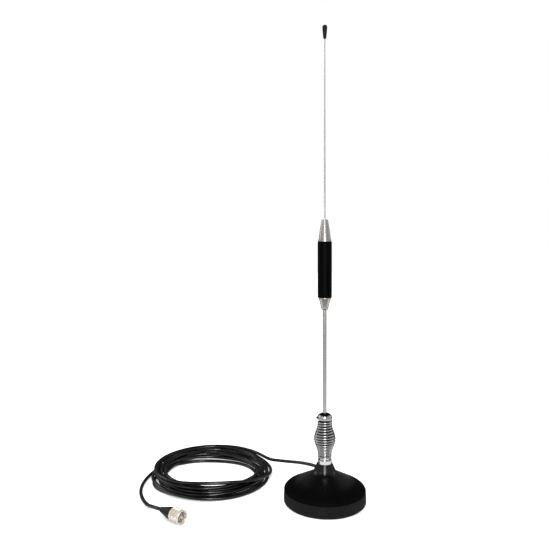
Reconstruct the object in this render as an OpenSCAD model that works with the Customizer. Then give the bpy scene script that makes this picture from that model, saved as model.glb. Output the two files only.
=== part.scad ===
// Mobile whip antenna on a magnetic base, with a shock spring, a loading coil,
// a loose coil of coaxial cable and a threaded plug.
// Millimetres. The origin is the middle of the base's underside, +Z runs up the mast.

/* [Magnetic base] */
// Outside diameter of the rubber band round the base
base_d = 120; // [116:1:124]
// Height of the band's top edge above the table
band_top = 18; // [17:0.5:19]
// Height of the neck's top face, where the antenna bolts on
neck_top = 56.5; // [55:0.5:59]
// Outside diameter of the neck at its top
neck_d = 23.2; // [22.4:0.2:24]
// Wall thickness of the moulded cover
cover_wall = 2.4; // [2:0.1:2.8]
// Diameter of the ring magnet
magnet_d = 92; // [86:1:94]
// Thickness of the ring magnet
magnet_h = 12; // [11:0.5:12]
// Thickness of the protective pad under the magnet
pad_h = 1.6; // [1.2:0.1:1.6]

/* [Shock spring] */
// Diameter of the spring wire
wire_d = 2.4; // [2.2:0.1:2.4]
// Outside diameter of the spring at its lower end
spring_foot_d = 20.3; // [20.2:0.1:20.8]
// Outside diameter of the spring at its upper end
spring_head_d = 21.8; // [21.6:0.1:22.4]
// How much wider the spring's belly is than its ends
belly_bulge = 11; // [8:0.5:12]
// Height of the spring from its first coil's centre to its last
spring_h = 54.3; // [52:0.1:56]

/* [Mast and loading coil] */
// Height of the antenna to the top of the rubber tip
overall_h = 699; // [660:1:740]
// Diameter of the lower mast
mast_d = 5.4; // [5:0.1:5.6]
// How far the mast can be drawn up out of the spring's head
mast_travel = 12; // [4:1:13]
// Length of the black sleeve over the loading coil
sleeve_l = 82.3; // [76:0.1:88]
// Outside diameter of the sleeve
sleeve_d = 20.9; // [20:0.1:21]
// Diameter of the whip where it leaves the upper ferrule
whip_d = 2.4; // [2:0.1:2.8]
// Diameter of the whip at its tip
whip_tip_d = 1.5; // [1.2:0.1:1.8]

/* [Cable] */
// Diameter of the coaxial cable
cable_d = 5; // [4.6:0.1:5]
// Outside diameter of the cable coil
coil_outer_d = 200; // [196:1:204]
// Inside diameter of the cable coil
coil_inner_d = 134; // [126:1:140]
// Height of the cable coil on the table
coil_h = 21; // [19:0.5:22]

/* [Plug] */
// Outside diameter of the coupling nut
nut_d = 19.8; // [19:0.1:19.8]
// Length of the coupling nut
nut_l = 18; // [17:0.5:19]
// Diameter of the centre pin
pin_d = 4; // [3.9:0.05:4]
// Diameter of the plug's spigot
spigot_d = 11.9; // [11.6:0.1:12]
// Length of the rubber boot behind the nut
boot_l = 24; // [24:1:24]

/* [Hidden] */
$fn = 96;

// Outlines are kept this far from the parts that move past them
gap = 0.3;

// Base
base_r = base_d / 2;
band_wall = 2.4;
band_lift = 1.9;
band_lip = 2;
cover_foot_z = 3.2;
cover_foot_r = base_r - band_wall;
cover_in_r = cover_foot_r - cover_wall;
neck_r = neck_d / 2;
// Where the neck's cone meets the cover's shallow cone
neck_foot = [neck_r + 5.4, neck_top - 12.5];
// Where the shallow cone would meet the upright rim
shoulder = [base_r - 0.2, band_top + 4];
plate_z = pad_h + magnet_h;
plate_h = 3;
plate_top = plate_z + plate_h;
magnet_hole_r = 14;
plate_hole_r = 8;
screw_count = 3;
screw_pitch_r = 51;
screw_r = 1.5;
screw_l = 5;
screw_head_h = 1.8;
boss_r = 4;
boss_top = band_top + 5.5;

// Stud that carries the antenna, insulated from the cover
stud_r = 4;
roof_z = neck_top - 7;
bush_r = 6.5;
bush_flange_r = 9;
bush_flange_h = 2.5;
lug_h = 0.8;
lug_r = 6.4;
lug_w = 3;
lug_reach = 10.4;
lug_top = roof_z - bush_flange_h;
stud_nut_h = 6;
stud_nut_af = 13;
stud_low = lug_top - lug_h - stud_nut_h - 2;

// Cable gland, pointing to the rear left; its direction is a 3-4-5 triangle
gland_way = [-0.6, 0.8, 0];
gland_turn = atan2(0.8, -0.6);
gland_z = 45.5;
gland_in = 12.8;
gland_out = 20;
gland_r = 3.2;
core_in = 7.6;
core_r = 0.6;

// Spring and its two end fittings
wire_r = wire_d / 2;
foot_h = 6;
foot_top = neck_top + foot_h;
foot_spigot_h = 7.5;
spring_z0 = foot_top + wire_r + gap;
spring_z1 = spring_z0 + spring_h;
open_pitch = 3.55;
close_pitch = 2.5;
foot_turns = 1.5;
close_turns = 6;
open_turns = (spring_h - (foot_turns * open_pitch + close_turns * close_pitch)) / open_pitch;
spring_turns = foot_turns + close_turns + open_turns;
belly_z = spring_z0 + 28.5;
belly_reach = 22;
head_low = spring_z1 + wire_r + 1.3;
head_r = 10.8;
head_rim_h = 2.6;
head_h = 9.3;
head_spigot_h = 12.6;
head_spigot_r = 8;
head_mouth_r = 3.2;
foot_spigot_r = 7.2;
braid_clear = 1.2;
braid_wall = 0.8;
fit_gap = 0.05;
mast_r = mast_d / 2;
// Length of mast still held in the head when it is drawn right up
mast_grip = 7.7;
mast_low = head_low + head_h - mast_grip - mast_travel;
set_screw_z = head_low + 2.2;
set_screw_r = 2;
set_screw_proud = 1.5;
hex_key_r = 1.15;
hex_key_depth = 2.1;

// Loading coil
coil_z = 299;
sleeve_top = coil_z + sleeve_l;
sleeve_r = sleeve_d / 2;
sleeve_in_r = sleeve_r - 1.3;
ferrule_spigot = 8;
lower_ferrule_l = 18.5;
lower_ferrule_r = 8.9;
upper_ferrule_l = 32;
upper_ferrule_rim = 2.4;
upper_ferrule_r = 9.5;
mast_socket = 10;
former_r = 5.8;
winding_r = 6.6;
winding_wire = 1.2;
winding_turns = 12;
winding_end = 4;
whip_socket = 17;
cap_l = 20;
cap_cover = 14;

// Cable: the coil's middle on the table, then the two free stretches point by point
coil_mid = [-176, 96];
lead_route = [
    [-12, 16, 45.5], [-15, 20, 45.3], [-23, 31, 43.3], [-35, 47, 39.5],
    [-47, 63, 34.8], [-59, 80, 29.7], [-70, 96, 25], [-80, 111, 21], [-89, 126, 18]
];
tail_route = [
    [-268, 116, 3], [-274, 96, 3], [-278, 76, 2.7], [-279, 54, 2.7], [-277, 33, 2.7],
    [-272, 14, 2.7], [-264, -5, 3], [-255.2, -21, 4.5], [-246.8, -32.8, 7.2],
    [-238, -42.6, 9.5], [-231, -48, 10]
];
tube_sides = 10;

// Plug: its axis is another 3-4-5 triangle, level with the table
plug_way = [0.8, -0.6, 0];
plug_turn = -atan2(0.6, 0.8);
boot_end = [-231, -48, 10];
plug_face = boot_end + plug_way * (boot_l + nut_l);
nut_r = nut_d / 2;
thread_r = 7.6;
lip_r = 6.4;
lip_h = 4.5;
body_r = lip_r - 0.07;
flange_r = 7.1;
flange_h = 2;
spigot_l = 4.5;
spigot_in_r = spigot_d / 2 - 1;
barrel_l = 10;
pin_back = 1;
pin_chamfer = 0.6;
pin_hole_d = 1.6;
pin_shank_r = 1.6;
insulator_front = -9;
boot_r = 8.3;
boot_neck_r = 3.1;

// ---- helpers ----

// Points on a curve that leaves a towards b and arrives at c
function bend(a, b, c, n = 6) = [
    for (i = [0:n])
        let (t = i / n)
        (1 - t) * (1 - t) * a + 2 * t * (1 - t) * b + t * t * c
];

function mix(a, b, t) = a + (b - a) * t;

// Rings of a tube, joined side by side and closed at both ends
function tube_faces(rings, sides) = concat(
    [[for (k = [sides - 1:-1:0]) k]],
    [for (i = [0:rings - 2], k = [0:sides - 1])
        let (a = i * sides + k, b = i * sides + (k + 1) % sides)
        each [[a, b, b + sides], [a, b + sides, a + sides]]],
    [[for (k = [0:sides - 1]) (rings - 1) * sides + k]]
);

function unit(v) = v / norm(v);

// A point between p[i] and p[i + 1] on a smooth curve through all of p
function smooth(p, i, t) =
    let (
        a = p[max(i - 1, 0)],
        b = p[i],
        c = p[i + 1],
        d = p[min(i + 2, len(p) - 1)]
    )
    0.5 * (2 * b + (c - a) * t + (2 * a - 5 * b + 4 * c - d) * t * t
        + (3 * b - a - 3 * c + d) * t * t * t);

// A route with one more point halfway along each of its stretches
function refined(p) = [
    for (i = [0:len(p) - 2]) each [p[i], smooth(p, i, 0.5)],
    p[len(p) - 1]
];

// A round tube along a route that never runs straight up
module cord_tube(route, r) {
    p = refined(route);
    n = len(p);
    points = [
        for (i = [0:n - 1])
            let (
                along = unit(p[min(i + 1, n - 1)] - p[max(i - 1, 0)]),
                side = unit(cross(along, [0, 0, 1])),
                up = cross(side, along)
            )
            for (k = [0:tube_sides - 1])
                let (a = 360 * k / tube_sides)
                p[i] + r * (cos(a) * side + sin(a) * up)
    ];
    polyhedron(points, tube_faces(n, tube_sides), convexity = 10);
}

// ---- base ----

module base_pad() color("dimgray")
    cylinder(r = cover_foot_r - 0.4, h = pad_h);

module ring_magnet() color("gray")
    translate([0, 0, pad_h])
        difference() {
            cylinder(d = magnet_d, h = magnet_h);
            translate([0, 0, -1])
                cylinder(r = magnet_hole_r, h = magnet_h + 2);
        }

module at_screws() {
    for (i = [0:screw_count - 1])
        rotate([0, 0, 90 + i * 360 / screw_count])
            translate([screw_pitch_r, 0, 0])
                children();
}

module steel_plate() color("lightsteelblue")
    difference() {
        translate([0, 0, plate_z])
            cylinder(r = cover_in_r - 0.1, h = plate_h);
        translate([0, 0, plate_z - 1])
            cylinder(r = plate_hole_r, h = plate_h + 2);
        at_screws()
            translate([0, 0, plate_z - 1])
                cylinder(r = screw_r, h = plate_h + 2);
    }

module base_screws() color("silver")
    at_screws() {
        translate([0, 0, plate_z - screw_head_h])
            cylinder(r1 = screw_r + 0.7, r2 = screw_r + 1.3, h = screw_head_h);
        translate([0, 0, plate_z])
            cylinder(r = screw_r, h = plate_h + screw_l);
    }

// Rubber band with a lip that hooks under the cover's edge
module base_band() color("dimgray")
    rotate_extrude()
        polygon(concat(
            [[cover_foot_r - band_lip, band_lift], [base_r - 1, band_lift]],
            bend([base_r - 0.9, band_lift], [base_r, band_lift], [base_r, band_lift + 1.4], 4),
            [[base_r, band_top - 5], [base_r - 0.4, band_top], [cover_foot_r, band_top]],
            [[cover_foot_r, cover_foot_z], [cover_foot_r - band_lip, cover_foot_z]]
        ));

// Outer skin of the cover from the neck's top edge down to the rim
function cover_skin() = concat(
    [[neck_r, neck_top]],
    bend(mix([neck_r, neck_top], neck_foot, 0.7), neck_foot, mix(neck_foot, shoulder, 0.12)),
    bend(mix(neck_foot, shoulder, 0.86), shoulder, [base_r - 0.2, band_top + 0.4]),
    [[base_r - 0.6, band_top]]
);

module base_cover() color("#1c1d1f")
    difference() {
        union() {
            rotate_extrude()
                polygon(concat(
                    cover_skin(),
                    [[cover_foot_r, band_top], [cover_foot_r, cover_foot_z]],
                    [[cover_in_r, cover_foot_z], [cover_in_r, band_top + 2]],
                    [[cover_in_r - 3.7, band_top + 8 - cover_wall]],
                    [[neck_foot[0] - 2, neck_foot[1] - 0.75 * cover_wall]],
                    [[neck_foot[0] - 5, roof_z], [bush_r, roof_z], [bush_r, neck_top]]
                ));
            at_screws()
                translate([0, 0, plate_top])
                    cylinder(r = boss_r, h = boss_top - plate_top);
        }
        at_screws()
            translate([0, 0, plate_top - 1])
                cylinder(r = screw_r, h = screw_l + 1);
        gland_shape();
    }

module gland_shape() {
    translate(gland_way * gland_in + [0, 0, gland_z])
        rotate([0, 90, gland_turn])
            cylinder(r = gland_r, h = gland_out - gland_in);
}

module cable_gland() color("#202123")
    gland_shape();

module core_wire() color("orange")
    translate(gland_way * core_in + [0, 0, gland_z])
        rotate([0, 90, gland_turn])
            cylinder(r = core_r, h = gland_in - core_in);

module mount_stud() color("gold")
    translate([0, 0, stud_low])
        cylinder(r = stud_r, h = foot_top + 3 - stud_low);

module stud_nut() color("gold")
    translate([0, 0, lug_top - lug_h - stud_nut_h])
        difference() {
            cylinder(d = stud_nut_af / cos(30), h = stud_nut_h, $fn = 6);
            translate([0, 0, -1])
                cylinder(r = stud_r, h = stud_nut_h + 2);
        }

// Ring terminal with a tail that bends down to the cable's core
module solder_lug() color("lightgray")
    translate([0, 0, lug_top - lug_h])
        difference() {
            union() {
                cylinder(r = lug_r, h = lug_h);
                rotate([0, 0, gland_turn]) {
                    translate([0, -lug_w / 2, 0])
                        cube([lug_reach, lug_w, lug_h]);
                    translate([lug_reach - lug_h, -lug_w / 2, gland_z + core_r - lug_top + lug_h])
                        cube([lug_h, lug_w, lug_top - lug_h - gland_z]);
                }
            }
            translate([0, 0, -1])
                cylinder(r = stud_r, h = lug_h + 2);
        }

module stud_insulator() color("white")
    difference() {
        union() {
            translate([0, 0, lug_top])
                cylinder(r = bush_flange_r, h = bush_flange_h);
            translate([0, 0, roof_z])
                cylinder(r = bush_r, h = neck_top - roof_z);
        }
        translate([0, 0, lug_top - 1])
            cylinder(r = stud_r, h = neck_top - lug_top + 2);
    }

// ---- spring ----

function spring_height(turn) =
    turn < foot_turns ? spring_z0 + turn * open_pitch
    : turn < foot_turns + close_turns
        ? spring_z0 + foot_turns * open_pitch + (turn - foot_turns) * close_pitch
        : spring_z1 - (spring_turns - turn) * open_pitch;

// Radius of the wire's centre line at a height
function spring_reach(z) =
    let (
        off = abs(z - belly_z) / belly_reach,
        bulge = off < 1 ? (1 + cos(180 * off)) / 2 : 0
    )
    mix(spring_foot_d, spring_head_d, (z - spring_z0) / spring_h) / 2 - wire_r
        + bulge * belly_bulge / 2;

module barrel_spring(per_turn = 16, sides = 8) color("silver") {
    last = ceil(spring_turns * per_turn);
    points = [
        for (i = [0:last])
            let (
                turn = min(i / per_turn, spring_turns),
                z = spring_height(turn),
                a = 360 * turn
            )
            for (k = [0:sides - 1])
                let (
                    b = -360 * k / sides,
                    r = spring_reach(z) + wire_r * cos(b)
                )
                [r * cos(a), r * sin(a), z + wire_r * sin(b)]
    ];
    polyhedron(points, tube_faces(last + 1, sides), convexity = 20);
}

module spring_foot() color("silver")
    difference() {
        union() {
            translate([0, 0, neck_top])
                cylinder(r = spring_foot_d / 2 + 0.05, h = foot_h);
            translate([0, 0, foot_top])
                cylinder(r = foot_spigot_r, h = foot_spigot_h);
        }
        translate([0, 0, neck_top - 1])
            cylinder(r = stud_r, h = foot_h + 4);
    }

// Woven copper sleeve that lines the spring and carries the current past it
module spring_braid(steps = 20) color("peru") {
    low = foot_top + foot_spigot_h + gap;
    high = head_low - head_spigot_h - gap;
    outside = [
        for (i = [0:steps])
            let (z = mix(low, high, i / steps))
            [spring_reach(z) - wire_r - braid_clear, z]
    ];
    rotate_extrude()
        polygon(concat(
            outside,
            [for (i = [steps:-1:0]) outside[i] - [braid_wall, 0]]
        ));
}

// Domed cap with a spigot inside the spring and a socket for the mast
module spring_head() color("silver")
    difference() {
        rotate_extrude()
            polygon(concat(
                [[0, head_low - head_spigot_h], [head_spigot_r, head_low - head_spigot_h]],
                [[head_spigot_r, head_low], [head_r, head_low], [head_r, head_low + head_rim_h]],
                bend(
                    [head_r, head_low + head_rim_h + 0.2],
                    [head_r - 0.8, head_low + head_h - 1.4],
                    [head_mouth_r, head_low + head_h]
                ),
                [[0, head_low + head_h]]
            ));
        translate([0, 0, mast_low - gap])
            cylinder(r = mast_r + fit_gap, h = head_h + 20);
        translate([0, 0, set_screw_z])
            rotate([0, -90, 0])
                cylinder(r = set_screw_r, h = 20);
    }

module set_screw() color("dimgray")
    translate([0, 0, set_screw_z])
        rotate([0, -90, 0])
            difference() {
                translate([0, 0, mast_r + fit_gap])
                    cylinder(r = set_screw_r, h = head_r + set_screw_proud - mast_r);
                translate([0, 0, head_r + set_screw_proud - hex_key_depth])
                    cylinder(r = hex_key_r, h = 4, $fn = 6);
            }

// ---- mast and loading coil ----

module lower_mast() color("silver")
    translate([0, 0, mast_low])
        cylinder(r = mast_r, h = coil_z - lower_ferrule_l + mast_socket - mast_low);

// Bullet-shaped end of the loading coil, with a spigot inside the sleeve
module coil_lower_ferrule() color("silver")
    difference() {
        rotate_extrude()
            polygon(concat(
                [[0, coil_z - lower_ferrule_l]],
                bend([3.1, coil_z - lower_ferrule_l], [4.9, coil_z - 18.2], [5.4, coil_z - 15], 5),
                bend([5.6, coil_z - 14], [7.4, coil_z - 6], [lower_ferrule_r - 0.1, coil_z - 1.6], 4),
                [[lower_ferrule_r, coil_z - 1.4], [lower_ferrule_r, coil_z]],
                [[sleeve_in_r, coil_z], [sleeve_in_r, coil_z + ferrule_spigot]],
                [[0, coil_z + ferrule_spigot]]
            ));
        translate([0, 0, coil_z - 30])
            cylinder(r = mast_r, h = 30 - lower_ferrule_l + mast_socket);
    }

module coil_sleeve() color("#141416")
    difference() {
        translate([0, 0, coil_z])
            cylinder(r = sleeve_r, h = sleeve_l);
        translate([0, 0, coil_z - 1])
            cylinder(r = sleeve_in_r, h = sleeve_l + 2);
    }

module coil_former() color("ivory")
    translate([0, 0, coil_z + ferrule_spigot])
        cylinder(r = former_r, h = sleeve_l - 2 * ferrule_spigot);

module loading_coil(per_turn = 16, sides = 6) color("chocolate") {
    low = coil_z + ferrule_spigot + winding_end;
    rise = sleeve_l - 2 * (ferrule_spigot + winding_end);
    last = winding_turns * per_turn;
    points = [
        for (i = [0:last], k = [0:sides - 1])
            let (
                a = 360 * i / per_turn,
                b = -360 * k / sides,
                r = winding_r + winding_wire / 2 * cos(b)
            )
            [r * cos(a), r * sin(a), low + rise * i / last + winding_wire / 2 * sin(b)]
    ];
    polyhedron(points, tube_faces(last + 1, sides), convexity = 20);
}

module coil_upper_ferrule() color("silver")
    difference() {
        rotate_extrude()
            polygon(concat(
                [[0, sleeve_top - ferrule_spigot], [sleeve_in_r, sleeve_top - ferrule_spigot]],
                [[sleeve_in_r, sleeve_top], [upper_ferrule_r, sleeve_top]],
                [[upper_ferrule_r, sleeve_top + upper_ferrule_rim]],
                bend(
                    [upper_ferrule_r - 0.6, sleeve_top + upper_ferrule_rim + 0.3],
                    [7.4, sleeve_top + 17],
                    [4.6, sleeve_top + upper_ferrule_l]
                ),
                [[0, sleeve_top + upper_ferrule_l]]
            ));
        translate([0, 0, sleeve_top + upper_ferrule_l - whip_socket])
            cylinder(d = whip_d, h = whip_socket + 1);
    }

module upper_whip() color("silver") {
    low = sleeve_top + upper_ferrule_l - whip_socket;
    straight = whip_socket + 1;
    translate([0, 0, low])
        cylinder(d = whip_d, h = straight);
    translate([0, 0, low + straight])
        cylinder(d1 = whip_d, d2 = whip_tip_d, h = overall_h - cap_l - low - straight);
    translate([0, 0, overall_h - cap_l])
        cylinder(d = whip_tip_d, h = cap_cover);
}

module tip_cap() color("#101012")
    translate([0, 0, overall_h - cap_l])
        difference() {
            rotate_extrude()
                polygon(concat(
                    [[0, 0], [1.9, 0], [2.3, 0.5], [3.6, cap_l - 4.5]],
                    bend([3.7, cap_l - 3.6], [3.9, cap_l], [0, cap_l], 6)
                ));
            translate([0, 0, -1])
                cylinder(d = whip_tip_d, h = cap_cover + 1);
        }

// ---- cable ----

module cable_lead() color("#1a1a1c")
    cord_tube(lead_route, cable_d / 2);

// Outer shape of the hand-coiled cable
module cable_coil() color("#1a1a1c") {
    r0 = coil_inner_d / 2;
    r1 = coil_outer_d / 2;
    translate([coil_mid[0], coil_mid[1], 0])
        rotate_extrude()
            polygon([
                [r0 + 4, 0], [r1 - 5, 0], [r1, 5], [r1, coil_h - 6],
                [r1 - 7, coil_h], [r0 + 5, coil_h], [r0, coil_h - 5], [r0, 5]
            ]);
}

module cable_tail() color("#1a1a1c")
    cord_tube(tail_route, cable_d / 2);

// ---- plug, drawn along X with its mouth at the origin ----

module plug_place() {
    translate(plug_face)
        rotate([0, 0, plug_turn])
            rotate([0, 90, 0])
                children();
}

module connector_boot() color("#202022")
    plug_place()
        difference() {
            rotate_extrude()
                polygon(concat(
                    [[0, -nut_l - boot_l], [boot_neck_r, -nut_l - boot_l]],
                    [[boot_neck_r + 0.6, -nut_l - boot_l + 0.6]],
                    bend(
                        [boot_neck_r + 0.9, -nut_l - boot_l + 3],
                        [boot_r - 0.4, -nut_l - 8],
                        [boot_r, -nut_l - 4]
                    ),
                    [[boot_r, -nut_l - gap], [0, -nut_l - gap]]
                ));
            translate([0, 0, -nut_l - barrel_l])
                cylinder(r = body_r, h = barrel_l + 1);
        }

module connector_body() color("silver")
    plug_place() {
        front = -nut_l + lip_h + gap + flange_h + spigot_l;
        difference() {
            union() {
                translate([0, 0, -nut_l - barrel_l])
                    cylinder(r = body_r, h = barrel_l + lip_h + gap);
                translate([0, 0, -nut_l + lip_h + gap])
                    cylinder(r = flange_r, h = flange_h);
                translate([0, 0, front - spigot_l])
                    cylinder(d = spigot_d, h = spigot_l);
            }
            translate([0, 0, -nut_l - 4])
                cylinder(r = spigot_in_r, h = 40);
            translate([0, 0, -nut_l - barrel_l - 1])
                cylinder(r = 2.4, h = 20);
        }
    }

module connector_insulator() color("ivory")
    plug_place()
        difference() {
            translate([0, 0, -nut_l - 4])
                cylinder(r = spigot_in_r, h = nut_l + 4 + insulator_front);
            translate([0, 0, -nut_l - 5])
                cylinder(r = pin_shank_r, h = 30);
        }

module centre_pin() color("gold")
    plug_place()
        difference() {
            union() {
                translate([0, 0, -nut_l - 6])
                    cylinder(r = pin_shank_r, h = nut_l + 6 + insulator_front);
                translate([0, 0, insulator_front])
                    cylinder(d = pin_d, h = -insulator_front - pin_back - pin_chamfer);
                translate([0, 0, -pin_back - pin_chamfer])
                    cylinder(d1 = pin_d, d2 = pin_d - 2 * pin_chamfer, h = pin_chamfer);
            }
            translate([0, 0, -7])
                cylinder(d = pin_hole_d, h = 10);
        }

module coupling_nut() color("silver")
    plug_place()
        rotate_extrude()
            polygon([
                [lip_r, -nut_l], [nut_r - 0.6, -nut_l], [nut_r, -nut_l + 0.6],
                [nut_r, -0.8], [nut_r - 0.8, 0], [thread_r + 0.4, 0],
                [thread_r, -0.4], [thread_r, -nut_l + lip_h], [lip_r, -nut_l + lip_h]
            ]);

base_pad();
ring_magnet();
steel_plate();
base_screws();
base_band();
base_cover();
cable_gland();
core_wire();
mount_stud();
stud_nut();
solder_lug();
stud_insulator();
spring_foot();
barrel_spring();
spring_braid();
spring_head();
set_screw();
lower_mast();
coil_lower_ferrule();
coil_sleeve();
coil_former();
loading_coil();
coil_upper_ferrule();
upper_whip();
tip_cap();
cable_lead();
cable_coil();
cable_tail();
connector_boot();
connector_body();
connector_insulator();
centre_pin();
coupling_nut();
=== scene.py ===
# %% [markdown]
# # A whip antenna on a magnetic base
# A sprung steel whip stands on a round magnetic foot, and a long black cable lies beside it
# in a hand-wound coil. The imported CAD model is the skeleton: it fixes every size and every
# joint. This file gives each piece the surface that the hand and the eye know.
#
# Everything is in metres, in the CAD model's own frame: the origin is the middle of the
# foot's underside and +Z runs up the mast. The lesson takes the camera and the cable first,
# then the tools for shapes and finishes, then the pieces from the foot up, then the light.

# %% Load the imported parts
import math

import bmesh
import bpy
import numpy as np
from mathutils import Matrix, Vector


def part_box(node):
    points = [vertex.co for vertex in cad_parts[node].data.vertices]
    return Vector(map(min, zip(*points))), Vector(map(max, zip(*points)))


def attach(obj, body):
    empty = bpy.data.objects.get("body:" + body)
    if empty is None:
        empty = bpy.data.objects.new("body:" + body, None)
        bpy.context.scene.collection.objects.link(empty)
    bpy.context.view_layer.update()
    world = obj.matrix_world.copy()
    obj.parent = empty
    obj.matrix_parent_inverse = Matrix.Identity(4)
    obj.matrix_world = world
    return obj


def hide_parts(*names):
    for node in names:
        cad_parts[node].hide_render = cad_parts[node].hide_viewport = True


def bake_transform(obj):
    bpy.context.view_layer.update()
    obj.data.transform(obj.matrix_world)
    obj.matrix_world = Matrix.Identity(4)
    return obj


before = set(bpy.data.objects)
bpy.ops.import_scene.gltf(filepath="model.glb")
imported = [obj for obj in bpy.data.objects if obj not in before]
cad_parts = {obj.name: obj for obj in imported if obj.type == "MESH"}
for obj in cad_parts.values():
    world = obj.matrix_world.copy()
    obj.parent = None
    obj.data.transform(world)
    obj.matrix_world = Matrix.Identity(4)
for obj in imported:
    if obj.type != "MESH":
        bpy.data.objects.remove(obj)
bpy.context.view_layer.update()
MM = 0.001
TAU = 2 * math.pi


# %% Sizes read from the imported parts, and a way to add objects
def low(node):
    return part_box(node)[0][2] / MM


def high(node):
    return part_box(node)[1][2] / MM


def reach(node):
    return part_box(node)[1][0] / MM


def added(name, data):
    """A new object in the scene, for a mesh, a curve, a lamp or a camera."""
    made = bpy.data.objects.new(name, data)
    bpy.context.scene.collection.objects.link(made)
    return made


print("the mast's tip is", round(high("tip_cap")), "mm above the table")

# %% [markdown]
# ## The camera
# The antenna is seen from a level camera a little above half its height, so the mast stays
# upright in the picture. A camera tilted down would make it lean. The lens is shifted down
# instead, as the front of a view camera is.

# %% Camera
lens = bpy.data.cameras.new("camera")
lens.sensor_width = 36
lens.lens = 39.27
lens.shift_y = -0.0655
lens.clip_end = 50
camera = added("camera", lens)
camera.location = Vector((-73, -880, 385)) * MM
camera.rotation_euler = (math.radians(90), 0, 0)
bpy.context.scene.camera = camera
print("camera at", tuple(round(v, 3) for v in camera.location), "with a", lens.lens, "mm lens")

# %% [markdown]
# ## The cable's free stretches
# The cable is 5 mm coax, a little over 5 m of it. It leaves the base's neck through a short
# gland, sags away to the rear left, goes round in a loose hand-wound coil and comes out at
# the left to end in a threaded plug. The two free stretches are listed points, the
# same ones that the CAD model's tubes follow.

# %% Route of the cable outside its coil
CABLE_D = 5
lead_route = np.array([
    (-12, 16, 45.5), (-15, 20, 45.3), (-23, 31, 43.3), (-35, 47, 39.5),
    (-47, 63, 34.8), (-59, 80, 29.7), (-70, 96, 25), (-80, 111, 21), (-89, 126, 18),
])
tail_route = np.array([
    (-268, 116, 3), (-274, 96, 3), (-278, 76, 2.7), (-279, 54, 2.7), (-277, 33, 2.7),
    (-272, 14, 2.7), (-264, -5, 3), (-255.2, -21, 4.5), (-246.8, -32.8, 7.2),
    (-238, -42.6, 9.5), (-231, -48, 10),
])
in_boot = tail_route[-1] + (1.6, -1.2, 0)
print("lead of", len(lead_route), "points, tail of", len(tail_route), "points")

# %% [markdown]
# ## Where the coil's turns start out
# Nine and a bit turns lie on the ring that the CAD model's coil marks out, and at the rear
# they spread a little further in. Hand-wound turns are never concentric. Each has a size, a
# height and a centre of its own, so a row or two a turn say where it starts, and the loop
# eases from row to row. Swings pull single strands aside: one drops off the pile at the
# right and climbs over the front, one makes the small loop that sticks out at the lower
# left, and six spread the pile at the rear.

# %% First place of every strand
coil_low, coil_high = (Vector(corner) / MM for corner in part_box("cable_coil"))
coil_mid = (coil_low + coil_high).xy / 2
RING_OUT = (coil_high.x - coil_low.x) / 2
RING_WIDTH = 46
TURNS = 9
SLICES = 36
# turn, radius, height, how far the turn's centre is off the coil's and which way
lay = np.array([
    (0, 92, 18, 0, 100), (0.12, 87, 19.5, 3, 100), (1, 91.5, 17, 6, 100), (2, 81, 19.5, 6, 100),
    (2.5, 82, 17, 7, 100), (3, 86.5, 16.5, 8, 105), (3.5, 74, 15, 6, 100), (4, 76, 15, 6, 270),
    (4.5, 84, 13, 3, 100), (5, 79, 9, 5, 270), (6, 89, 8, 3, 90), (6.5, 91, 7, 4, 245),
    (7, 94, 5, 5, 240), (7.5, 76, 5, 5, 260), (8, 73.5, 3.5, 8, 270), (8.5, 84, 4, 6, 270),
    (9, 84, 2.6, 8, 270), (9.42, 94, 3, 0, 270),
])
# turn, how long the swing lasts in turns, outward shift, upward shift
swings = [
    (0.70, 0.12, -11, 2.5), (0.99, 0.13, 8, -8), (3.45, 0.10, 3, 0), (8.53, 0.07, 8, 0),
    (1.2, 0.14, 2, 3), (2.2, 0.14, 2, 3), (3.2, 0.14, 0, 3), (4.2, 0.14, -5, 1), (5.2, 0.14, -9, 0),
    (8.2, 0.14, -12, 1),
]


def around(point):
    """Distance and angle of a point from the coil's middle."""
    across = Vector(point[:2]) - coil_mid
    return across.length, math.atan2(across.y, across.x)


def eased(turn, rows):
    """Values at each turn, flat at every row and smooth between rows."""
    at = np.clip(np.searchsorted(rows[:, 0], turn, side="right") - 1, 0, len(rows) - 2)
    t = (turn - rows[at, 0]) / (rows[at + 1, 0] - rows[at, 0])
    t = (t * t * (3 - 2 * t))[:, None]
    return rows[at, 1:] * (1 - t) + rows[at + 1, 1:] * t


first_r, first_angle = around(lead_route[-1])
last_r, last_angle = around(tail_route[0])
sweep = last_angle - first_angle + TAU * TURNS
turn = np.arange(int(sweep / TAU * SLICES) + 1) / SLICES
angle = first_angle + TAU * turn
way = np.radians(lay[:, 4])
rows = np.column_stack([lay[:, :3], lay[:, 3] * np.cos(way), lay[:, 3] * np.sin(way)])
size, height, off_x, off_y = eased(turn, rows).T
strand = np.column_stack([size + off_x * np.cos(angle) + off_y * np.sin(angle), height])
for at, width, outward, upward in swings:
    strand += np.exp(-(((turn - at) / width) ** 2))[:, None] * (outward, upward)
strand[0] = (first_r, lead_route[-1][2])
print(round(sweep / TAU, 2), "turns of cable in", len(turn), "steps")

# %% [markdown]
# ## Settling the turns
# Strands can't pass through each other, so the coil is cut into slices like a cake. In each
# slice the strands are small circles that sink a little and push each other apart. Each
# strand also keeps close to its neighbours in the slices on both sides, which is the
# cable's stiffness: it is limp for the first rounds and stiff for the rest. A few hundred
# rounds leave a pile whose strands lie on each other, the same one every time.

# %% Let the turns settle on each other
APART = CABLE_D + 0.25
ROUNDS = 400
SINK = 0.012
SHARE = 0.35
LIMP_ROUNDS = 240
LIMP = 0.25
STIFF = 0.06


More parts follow.
